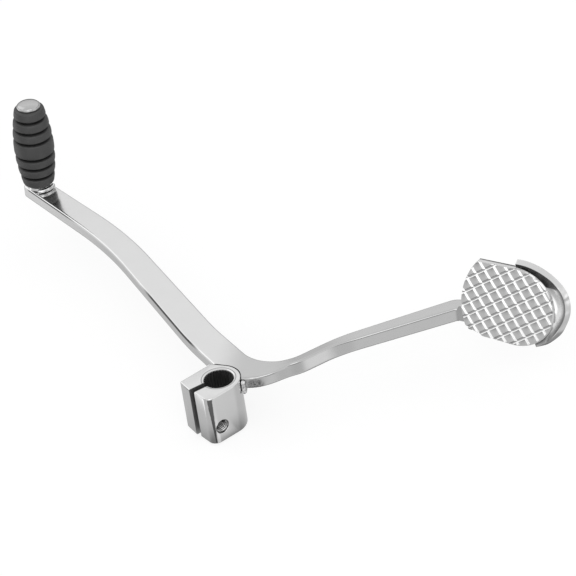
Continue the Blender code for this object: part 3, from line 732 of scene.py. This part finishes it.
toeSpec = {
    "inset": 6.2, "lean": 0.5, "seatGap": 0.4, "pin": 4.0, "spigot": 3.0, "collar": 5.2,
    "collarHeight": 1.7, "head": 5.1, "headRim": 0.9, "headDome": 1.2, "headRound": 0.35,
    "domeDrop": 0.1, "pinEdge": 0.2, "collarEdge": 0.3, "rubberSteps": (420, 160),
    "length": 37.0, "middle": 17.22, "top": 12.4, "foot": 13.0, "corner": 1.0, "rise": 0.25,
    "grooveWidth": 0.62, "grooveDepth": 1.5, "grooves": (3.9, 8.8, 13.7), "shoulder": 0.35,
    "shoulderWidth": 1.7, "seamTurn": 200.0, "seamHeight": 0.09, "seamWidth": 0.18,
}


def toePlace():
    # Z along the pin, from the bar's top face at the toe
    along, inward = headingAxes(barHeading[0])
    roll = (barSpec["toeRoll"] - toeSpec["lean"]) * deg
    up = -inward * np.sin(roll) + np.array([0, 0, np.cos(roll)])
    side = inward * np.cos(roll) + np.array([0, 0, np.sin(roll)])
    core = np.array([barX[0], barY[0], barSpec["top"] - halfThick])
    core = core + along * toeSpec["inset"] + inward * barSpec["toeWidth"] / 2
    return placeMatrix(side, np.cross(up, side), up, core + up * halfThick)


def makePin(place):
    # Turned profile from the dome's middle down to the spigot's end. The dome is an ellipse's
    # quarter, and a quarter round leads from it to the head's rim.
    spec = toeSpec
    collarTop = spec["seatGap"] + spec["collarHeight"]
    headLow = collarTop + weldGap + spec["length"] + weldGap
    rimTop = headLow + spec["headRim"]
    turn = np.linspace(0, np.pi / 2, 12)
    edge, small, drop = spec["headRound"], spec["pinEdge"], spec["domeDrop"]
    dome, collar, collarEdge = spec["head"] - edge, spec["collar"], spec["collarEdge"]
    domeRise, seat, end = spec["headDome"] - drop, spec["seatGap"], -barSpec["thickness"]
    sweep = np.column_stack((np.sin(turn), np.cos(turn)))
    profile = np.vstack((
        sweep * (dome, domeRise) + (0, rimTop - drop),
        sweep[::3] * edge + (dome, rimTop - drop - edge),
        [(spec["head"], headLow + small), (spec["head"] - small, headLow),
         (spec["pin"], headLow), (spec["pin"], collarTop), (collar - collarEdge, collarTop),
         (collar, collarTop - collarEdge), (collar, seat + small), (collar - small, seat),
         (spec["spigot"], seat), (spec["spigot"], end), (0, end)]))
    return revolve("toePin", *profile.T, place)


def makeRubber(place):
    # Barrel: a straight taper with a parabola on it, cut by narrow round-shouldered grooves
    spec = toeSpec
    length = spec["length"]
    rows, segments = spec["rubberSteps"]
    height = np.linspace(length, 0, rows)
    part = height / length
    taper = spec["foot"] + (spec["top"] - spec["foot"]) * part
    swell = spec["middle"] - (spec["foot"] + spec["top"]) / 2
    radius = (taper + swell * 4 * part * (1 - part)) / 2
    for offset in spec["grooves"]:
        for side in (1, -1):
            away = (height - length / 2 - spec["rise"] - side * offset) / spec["grooveWidth"]
            radius = radius - spec["grooveDepth"] * np.exp(-away ** 4)
            radius = radius - spec["shoulder"] * np.exp(-(away / spec["shoulderWidth"]) ** 2)
    ends = np.minimum(height, length - height)
    radius = radius - spec["corner"] * quarterRound(ends / spec["corner"])
    hole = spec["pin"] + weldGap
    radii = np.concatenate((radius, [hole, hole]))
    foot = spec["seatGap"] + spec["collarHeight"] + weldGap
    heights = np.concatenate((height, [0.0, length])) + foot
    # The moulding seam is a fine ridge down one side
    away = (circle(segments) - spec["seamTurn"] * deg) * spec["middle"] / 2
    seam = spec["seamHeight"] * np.exp(-(away / spec["seamWidth"]) ** 2)
    return revolve("toeRubber", radii[:, None] + seam, heights, place, segments,
                   closeProfile=True, sharpAngle=50)


# Heel plate

plateSpec = {
    "sheet": 2.4, "tilt": 11.1, "along": 25.6, "up": 6.3, "round": 17.0, "topReach": 15.6,
    "topHeight": 17.35, "leftBulge": 4.1, "lowReach": 21.5, "lowHeight": 11.8, "bottomReach": 14.0,
    "bottomHeight": 15.4, "bottomTurn": -95.0, "topRise": -0.15, "bend": 2.0, "curl": 1.25,
    "edge": 0.35, "leastRise": 0.15, "blend": 22, "turnSteps": 130, "wallSteps": 16,
    # Angle round the plate, flare and height of the lip
    "lip": ((-60, 20, 0.3), (-33, 42, 1.2), (-12, 46, 3.25), (6, 33, 4.03), (25, 30, 4.53),
            (50, 31, 2.8), (87, 38, 1.2)),
    "inset": 0.5, "margin": 0.15,
}
treadSpec = {
    "pitch": 4.52, "turn": 32.8, "shift": 0.6, "crossShift": -1.7, "flat": 3.0, "height": 0.62,
    # The slope from a groove up to a pad: shares of its width and of the height
    "slope": (0.0, 0.08, 0.58, 0.75, 0.88, 1.0), "rise": (0.03, 0.10, 0.76, 0.90, 0.97, 1.0),
    "count": 7, "root": -0.3, "trim": (-0.1, 3.0),
}


def freeEdges(margin=0.0):
    # Top edge, the bulging arc on the bar's side, and the lower corner
    spec = plateSpec
    top = np.array([-spec["topReach"], spec["topHeight"]])
    low = np.array([-spec["lowReach"], -spec["lowHeight"]])
    chord = low - top
    bulge = spec["leftBulge"]
    outward = np.array([chord[1], -chord[0]]) / np.hypot(*chord)
    outward = -outward if outward[0] > 0 else outward
    radius = (np.hypot(*chord) ** 2 / 4 + bulge ** 2) / (2 * bulge)
    center = (top + low) / 2 - outward * (radius - bulge)
    start = np.arctan2(*(top - center)[::-1])
    end = np.arctan2(*(low - center)[::-1]) % (2 * np.pi)
    left = arc(center, radius, start / deg, end / deg, 40)
    points = np.vstack(([[0.0, spec["round"] + spec["topRise"]]], left,
                        [[-spec["bottomReach"], -spec["bottomHeight"]]]))
    return points - points / np.hypot(points[:, 0], points[:, 1])[:, None] * margin


def lipRows(turn):
    # Out and up of each point above the bend line, from stations smoothed by a running mean. An
    # arc by the flare and a straight slope give the rim, and the wall curls up to it as a power
    # of the way out.
    stations = np.array(plateSpec["lip"], float)
    fine = np.linspace(stations[0, 0], stations[-1, 0], 400)
    blend = plateSpec["blend"]
    kernel = np.ones(2 * blend + 1) / (2 * blend + 1)
    shapes = []
    for column in (1, 2):
        values = np.pad(np.interp(fine, stations[:, 0], stations[:, column]), blend, mode="edge")
        shapes.append(np.interp(turn, fine, np.convolve(values, kernel, "valid")))
    flare, height = shapes[0] * deg, shapes[1]
    bend = plateSpec["bend"]
    up = bend * (1 - np.cos(flare))
    rest = np.maximum(plateSpec["leastRise"], height - up)
    out = bend * np.sin(flare) + rest / np.tan(flare)
    parts = np.linspace(0, 1, plateSpec["wallSteps"] + 1)[:, None]
    return out * parts, (up + rest) * parts ** plateSpec["curl"]


def makePlate(place):
    # The flat's outline is one face, the lip a grid from inside the bend line to its rim, and
    # both get the sheet's thickness
    spec = plateSpec
    steps = spec["turnSteps"]
    turn = np.linspace(spec["lip"][0][0], spec["lip"][-1][0], steps + 1)
    out, up = lipRows(turn)
    radius = np.vstack((np.full(steps + 1, spec["round"] - spec["inset"]), spec["round"] + out))
    height = np.vstack((np.zeros(steps + 1), up))
    x, y = radius * np.cos(turn * deg), radius * np.sin(turn * deg)
    grid = np.stack((x, y, height), axis=-1).reshape(-1, 3)
    lower = arc((0, 0), spec["round"], spec["bottomTurn"], spec["lip"][0][0], 16)[:-1]
    rim = atHeight(np.vstack((freeEdges(), lower)), 0.0)
    faces = gridFaces(len(radius), steps + 1)
    flat = list(range(steps + 1)) + [2 * (steps + 1) - 1]
    flat += list(range(len(grid), len(grid) + len(rim))) + [steps + 1]
    plate = makeObject("heelPlate", np.vstack((grid, rim)), faces + [flat], sharpAngle=25)
    if max(plate.data.polygons, key=lambda face: face.area).normal.z < 0:
        plate.data.flip_normals()
    sheet = plate.modifiers.new("sheet", "SOLIDIFY")
    sheet.thickness = spec["sheet"] * mm
    sheet.offset = -1
    sheet.use_even_offset = True
    bevelEdges(plate, spec["edge"], segments=3, limit=50)
    bake(plate, sharpAngle=25)
    plate.data.transform(toMatrix(place))
    return plate


def makeTread(place):
    # Height is the lesser of two trapezoid waves across each other, on lines that follow them,
    # so each quad splits along its hip. The block is then trimmed to the plate's flat.
    spec = treadSpec
    half = (spec["pitch"] - spec["flat"]) / 2
    first = np.append(np.array(spec["slope"]) * half, spec["pitch"] / 2)
    tall = np.append(np.array(spec["rise"]), 1.0) * spec["height"]
    period = np.concatenate((first, spec["pitch"] - first[-2:0:-1]))
    profile = np.concatenate((tall, tall[-2:0:-1]))
    count = spec["count"]
    lines = np.concatenate([period + spec["pitch"] * index for index in range(-count, count)])
    levels = np.tile(profile, 2 * count)
    v = lines + spec["shift"]
    u = -(lines + spec["crossShift"])[::-1]
    top = np.minimum(levels[::-1][:, None], levels[None, :])
    rows, columns = top.shape
    index = np.arange(rows * columns).reshape(rows, columns)
    riseU = np.sign(np.diff(levels[::-1]))[:, None]
    riseV = np.sign(np.diff(levels))[None, :]
    same = (riseU * riseV >= 0).ravel()
    quads = np.array(gridFaces(rows, columns))
    faces = []
    for kept, splits in ((same, ((0, 1, 2), (0, 2, 3))), (~same, ((0, 1, 3), (1, 2, 3)))):
        for corners in splits:
            faces += quads[kept][:, corners].tolist()
    rim = np.concatenate((index[:, 0], index[-1, 1:], index[-2::-1, -1], index[0, -2:0:-1]))
    turn = spec["turn"] * deg
    gridU, gridV = (grid.ravel() for grid in np.meshgrid(u, v, indexing="ij"))
    flat = np.column_stack((gridU * np.cos(turn) - gridV * np.sin(turn),
                            gridU * np.sin(turn) + gridV * np.cos(turn)))
    low = atHeight(flat[rim], spec["root"])
    total = rows * columns
    after = np.roll(np.arange(len(rim)), -1)
    faces += np.column_stack((rim, rim[after], total + after, total + np.arange(len(rim)))).tolist()
    faces.append(list(range(total, total + len(rim))))
    points = np.vstack((np.column_stack((flat, top.ravel())), low))
    tread = makeObject("heelTread", points, faces, sharpAngle=20)
    radius = plateSpec["round"] - plateSpec["inset"]
    side = arc((0, 0), radius, plateSpec["bottomTurn"], plateSpec["lip"][-1][0], 90)
    outline = np.vstack((side, freeEdges(plateSpec["margin"])))
    tool = prism("treadTool", outline, *spec["trim"])
    combine(tread, [tool], "INTERSECT", sharpAngle=20)
    tread.data.transform(toMatrix(place))
    return tread


# Weld beads

weldSpec = {
    "radius": 0.8, "topDrop": 0.6, "rightTurn": -45.0, "padRadius": 1.1, "padLead": 3.3,
    "padClear": 0.8, "pinRadius": 0.8, "pinReach": 4.3, "ripple": 0.16, "pitch": 1.5,
    "step": 0.15, "smooth": 6, "segments": 24, "arch": 0.5, "middle": 0.6, "lump": 0.08,
    "lumpPaces": (1.7, 0.83),
}


def bead(name, corners, radius, phase=0.0):
    # A tube along a smoothed path, whose radius swells in crescents like laid weld metal
    spec = weldSpec
    knots = runningSum(np.linalg.norm(np.diff(corners, axis=0), axis=1))
    s = np.linspace(0, knots[-1], int(knots[-1] / spec["step"]) + 2)
    path = np.column_stack([np.interp(s, knots, corners[:, axis]) for axis in range(3)])
    kernel = np.hanning(2 * spec["smooth"] + 1)
    kernel /= kernel.sum()
    padded = np.pad(path, ((spec["smooth"],) * 2, (0, 0)), mode="edge")
    path = np.column_stack([np.convolve(padded[:, axis], kernel, "valid") for axis in range(3)])
    tangent = np.gradient(path, axis=0)
    tangent /= np.linalg.norm(tangent, axis=1)[:, None]
    side = np.cross(tangent, (0.31, 0.47, 0.83))  # no path runs this way
    side /= np.linalg.norm(side, axis=1)[:, None]
    other = np.cross(tangent, side)
    turn = circle(spec["segments"])
    wave = (s[:, None] + spec["arch"] * radius * np.cos(turn + phase)) / spec["pitch"] % 1.0
    fast, slow = spec["lumpPaces"]
    lump = 0.5 * np.sin(s * fast + phase) + 0.5 * np.sin(s * slow + 2 * phase)
    swell = 1 + spec["ripple"] * (np.sqrt(wave) - spec["middle"]) + spec["lump"] * lump[:, None]
    ends = np.minimum(s, s[-1] - s) / radius
    swell = swell * np.sqrt(1 - np.clip(1 - ends, 0, 1) ** 2)[:, None]
    ring = side[:, None] * np.cos(turn)[:, None] + other[:, None] * np.sin(turn)[:, None]
    points = path[:, None] + ring * (radius * swell)[..., None]
    faces = gridFaces(len(s), len(turn), closeColumns=True)
    return makeObject(name, points, faces, sharpAngle=60)


def makeClampBead():
    # Down the bar's right side, under it round the clamp's back, and up its left side
    offset = weldGap + weldSpec["radius"]
    low = barSpec["top"] - barSpec["thickness"] - offset
    high = barSpec["top"] - weldSpec["topDrop"]
    grown = clampOutline(offset, roundSteps=48)
    radius = clampSpec["ring"] + offset
    corner = grown[1]
    start = touchTurn(corner, radius)
    leftX = barSpec["start"][0] - barSpec["hubWidth"] - offset
    flank = grown[0] + (corner - grown[0]) * (leftX - grown[0][0]) / (corner[0] - grown[0][0])
    flat = np.vstack((arc((0, 0), radius, weldSpec["rightTurn"], start, 40), corner, flank))
    corners = np.vstack(([*flat[0], high], atHeight(flat, low), [*flat[-1], high]))
    return bead("clampWeld", corners, weldSpec["radius"])


def makePinBead(place):
    # Half round the pin's collar, on the bar's top face
    ring = toeSpec["collar"] + weldGap + weldSpec["pinRadius"]
    start = np.arccos(weldSpec["pinReach"] / ring) / deg
    corners = atHeight(arc((0, 0), ring, start, 180 - start, 30), weldGap + weldSpec["pinRadius"])
    return bead("pinWeld", carry(corners, place), weldSpec["pinRadius"], phase=0.4)


def makePadBead(place):
    # Along the bar's top, round its end and back below, behind the plate
    offset = weldGap + weldSpec["padRadius"]
    end = barSpec["heelMoves"][-1][1] + offset + weldGap
    spread = (barSpec["heelThickness"] - barSpec["thickness"]) / 2
    low = -barSpec["thickness"] - spread - offset - weldSpec["padClear"]
    high = spread + offset + weldGap / 2
    lead = weldSpec["padLead"]
    corners = np.array([(lead, high, -offset), (end, high, -offset),
                        (end, low, -offset), (lead, low, -offset)])
    return bead("padWeld", carry(corners, place), weldSpec["padRadius"], phase=1.3)


# Making the lever

# Where light and shade are painted on the plate: a mask, the share of light taken off there (a
# negative share paints light on) and the roughness added. The bar has two painted dark reflections
# just below its top on the near side, by the hub and by the toe, and is painted darker towards the
# heel. The thread is painted dark as shade in its hole, darker deeper in, and the crests inside
# their radius get a painted highlight five times as light.
xAxis, yAxis, zAxis = (1, 0, 0), (0, 1, 0), (0, 0, 1)
nearSide = (xAxis, 11.5, 10.5)
hubEnds = (nearSide, (yAxis, 20.0, 30.0), (yAxis, 78.0, 66.0))
toeEnds = (nearSide, (yAxis, 128.0, 146.0), (yAxis, 173.0, 171.0))
slitEnd = ((xAxis, -5.6, -5.9),)
boltAxis = (clampSpec["boltX"], 0, clampSpec["boltZ"])
lookSpec = {
    "barBrush": 10.0, "barStains": (((10.5, -10.5, 18.2), 5.0),), "threadShade": 0.16,
    # The bar: painted shade darker towards the heel, and two painted dark reflections below its top
    "bar": ((fadeMask((0.707, -0.707, 0), start=-6.0, end=9.0), 0.25, 0.0),
            (bandMask(zAxis, low=20.9, high=21.95, soft=0.1, limits=hubEnds), 0.9, 0.0),
            (bandMask(zAxis, low=21.3, high=21.95, soft=0.1, limits=toeEnds), 0.85, 0.0)),
    # The clamp: painted shade in the bore and in the slit, a painted dark ring at the bore's top
    # mouth, and the painted dark reflection down the right ear's corner
    "clamp": ((holeMask((0, 0, 0), (1, 1, 0), radius=5.95), 0.76, 0.3),
              (bandMask(yAxis, low=-1.5, high=1.5, soft=0.1, limits=slitEnd), 0.6, 0.35),
              (ringMask(radius=6.9, width=0.3, floor=21.7), 0.7, 0.0), (reflectionWedgeMask, 0.8, 0.1)),
    # The thread: a painted highlight on its crests and painted shade deeper in the hole
    "thread": ((holeMask(boltAxis, (1, 0, 1), radius=2.62), -4.0, 0.0),
               (fadeMask(yAxis, start=-8.6, end=-5.5), 0.5, 0.2)),
    # The pin: painted shade on its head
    "pin": ((fadeMask(zAxis, start=50.0, end=55.0), 0.3, 0.0),),
    # Painted dark reflection on the lip's inner wall: share and roughness
    "lipDarkReflection": (0.93, 0.1),
}
barChrome = chromePlate("barChrome", lookSpec["barBrush"], lookSpec["barStains"], lookSpec["bar"])
clampChrome = chromePlate("clampChrome", masks=lookSpec["clamp"])
threadChrome = chromePlate("threadChrome", masks=lookSpec["thread"], shade=lookSpec["threadShade"])
pinChrome = chromePlate("pinChrome", masks=lookSpec["pin"])
beadChrome = weldPlate("beadChrome")

dress(makeBar(), barChrome, "plated_steel", "lever_bar")
clampPiece, threadPlace, threadFace = makeClamp()
dress(clampPiece, clampChrome, "plated_steel", "shaft_clamp")
dress(makeThread(threadPlace, threadFace), threadChrome, "plated_steel")
pinPlace = toePlace()
dress(makePin(pinPlace), pinChrome, "plated_steel", "toe_pin")
rubberFoot = toeSpec["seatGap"] + toeSpec["collarHeight"] + weldGap
rubberMiddle = rubberFoot + toeSpec["length"] / 2 + toeSpec["rise"]
grooves = [rubberMiddle + side * offset for offset in toeSpec["grooves"] for side in (-1, 1)]
rubber = mouldedRubber("mouldedRubber", pinPlace, grooves, toeSpec["grooveWidth"])
dress(makeRubber(pinPlace), rubber, "rubber_black", "toe_rubber")
padPlace = padPlaceMatrix()
plateShift = np.eye(4)
plateShift[:3, 3] = (plateSpec["along"], plateSpec["up"], plateSpec["sheet"])
platePlace = padPlace @ plateShift
# Painted dark reflection on the lip's inner wall
plateChrome = chromePlate("plateChrome", masks=((lipReflectionMask(platePlace), *lookSpec["lipDarkReflection"]),))
dress(makePlate(platePlace), plateChrome, "plated_steel", "heel_plate")
dress(makeTread(platePlace), plateChrome, "plated_steel")
dress(makeClampBead(), beadChrome, "plated_weld", "clamp_weld")
dress(makePinBead(pinPlace), beadChrome, "plated_weld", "pin_weld")
dress(makePadBead(padPlace), beadChrome, "plated_weld", "pad_weld")


# Stage

stageSpec = {
    "floorSize": 6.0, "floorLevel": -0.0006, "floorColor": 0.75, "cameraWhite": 1.14,
    "shadowShare": 0.3,
    # The camera that was fitted to the photo, whose focal length is 3795 pixels of its 576
    "camera": (-0.519546, -1.091617, 0.903746), "sensor": 36.0, "focal": 3795.0 / 576.0,
    "right": (0.840797, -0.526603, -0.125494), "down": (-0.393152, -0.434631, -0.810264),
    "forward": (0.372144, 0.730606, -0.572472), "clipEnd": 20.0,
    # Each lamp's place, size and power
    "lamps": {"keyLamp": ((-0.25, -0.75, 0.75), 0.8, 1.4),
              "backLamp": ((-0.35, 0.9, 0.8), 0.9, 0.7)},
    "lampTarget": (0.05, 0.03, 0.03),
    # What the metal sees: light against the height of the direction
    "ramp": ((-1.0, 0.32), (-0.93, 0.28), (-0.86, 0.14), (-0.71, 0.18), (-0.66, 0.42),
             (-0.62, 0.56), (-0.30, 0.60), (-0.12, 0.45), (-0.05, 0.10), (0.08, 0.10),
             (0.15, 0.58), (0.26, 0.76), (0.40, 0.85), (0.54, 0.90), (0.62, 0.95),
             (0.72, 0.88), (1.0, 0.80)),
    # Cards in it: a direction, the angles off it where a card begins and is full, and its gain
    "cards": (((-0.58, -0.78, 0.24), 17, 9, 0.6), ((0.15, -0.78, -0.57), 40, 10, 0.14),
              ((-0.60, -0.62, 0.02), 38, 20, 0.35), ((-0.72, 0.53, -0.44), 10, 5, 0.8),
              ((-0.55, 0.80, -0.02), 35, 18, 0.35), ((0.47, -0.88, 0.0), 25, 12, 0.5),
              ((0.08, -0.52, -0.85), 28, 12, 0.35)),
}


def makeFloor():
    # The camera sees it white with a share of its shade, and it's pale and matt to the lever
    half = stageSpec["floorSize"] / 2 / mm
    level = stageSpec["floorLevel"] / mm
    corners = [(x * half, y * half, level) for x, y in ((-1, -1), (1, -1), (1, 1), (-1, 1))]
    floor = makeObject("studioFloor", corners, [[0, 1, 2, 3]])
    material, board = newMaterial("paleFloor")[:2]
    level = stageSpec["floorColor"]
    matt = board.make("ShaderNodeBsdfDiffuse", {}, {"Color": (level, level, level, 1)}, "BSDF")
    white = board.make("ShaderNodeEmission", {}, {"Strength": stageSpec["cameraWhite"]}, "Emission")
    seen = board.make("ShaderNodeLightPath", {}, {}, "Is Camera Ray")
    seen = seen * (1.0 - stageSpec["shadowShare"])
    mixed = board.make("ShaderNodeMixShader", {}, {0: seen, 1: matt, 2: white}, "Shader")
    linkSurface(board, mixed)
    floor.data.materials.append(material)
    floor.visible_glossy = False  # the metal sees the studio's cards below it instead
    floor.visible_shadow = False


def makeWorld():
    # The camera sees white. The metal sees a pale studio: its light is a ramp of height, with a
    # few cards, each a smooth spot round one direction.
    world = bpy.data.worlds.new("studio")
    bpy.context.scene.world = world
    world.use_nodes = True
    board = Board(world.node_tree)
    direction = board.make("ShaderNodeTexCoord", {}, {}, "Generated")
    height = board.make("ShaderNodeSeparateXYZ", {}, {"Vector": direction}, "Z")
    stops = [((up + 1) / 2, level) for up, level in stageSpec["ramp"]]
    position = (height + 1.0) * 0.5
    light = board.make("ShaderNodeValToRGB", {"stops": stops}, {"Fac": position}, "Color")
    for center, outer, inner, gain in stageSpec["cards"]:
        facing = board.along(direction, np.array(center) / np.linalg.norm(center))
        outer, inner = (float(np.cos(angle * deg)) for angle in (outer, inner))
        light = light + gain * board.remap(facing, outer, inner)
    seen = board.make("ShaderNodeLightPath", {}, {}, "Is Camera Ray")
    strength = board.make("ShaderNodeMix", {"data_type": "FLOAT"}, {0: seen, 2: light, 3: 1.0}, 0)
    linkSurface(board, board.make("ShaderNodeBackground", {}, {
        "Color": (1, 1, 1, 1), "Strength": strength}, "Background"), "ShaderNodeOutputWorld")


def makeLamp(name, place, size, power):
    # A square area lamp whose back looks away from the lamps' shared target
    data = bpy.data.lights.new(name, "AREA")
    data.size = size
    data.energy = power
    away = np.array(place) - stageSpec["lampTarget"]
    away /= np.linalg.norm(away)
    side = np.cross((0, 0, 1), away)
    side /= np.linalg.norm(side)
    matrix = placeMatrix(side, np.cross(away, side), away, place)
    addObject(name, data).matrix_world = toMatrix(matrix, 1.0)


def makeCamera():
    data = bpy.data.cameras.new("photoCamera")
    data.sensor_width = stageSpec["sensor"]
    data.lens = stageSpec["focal"] * stageSpec["sensor"]
    data.clip_end = stageSpec["clipEnd"]
    camera = addObject("photoCamera", data)
    right, down, forward = (np.array(stageSpec[key]) for key in ("right", "down", "forward"))
    camera.matrix_world = toMatrix(placeMatrix(right, -down, -forward, stageSpec["camera"]), 1.0)
    bpy.context.scene.camera = camera


makeFloor()
makeWorld()
for lampName, lampValues in stageSpec["lamps"].items():
    makeLamp(lampName, *lampValues)
makeCamera()
bpy.context.scene.view_settings.view_transform = "Standard"
print("stage ready")
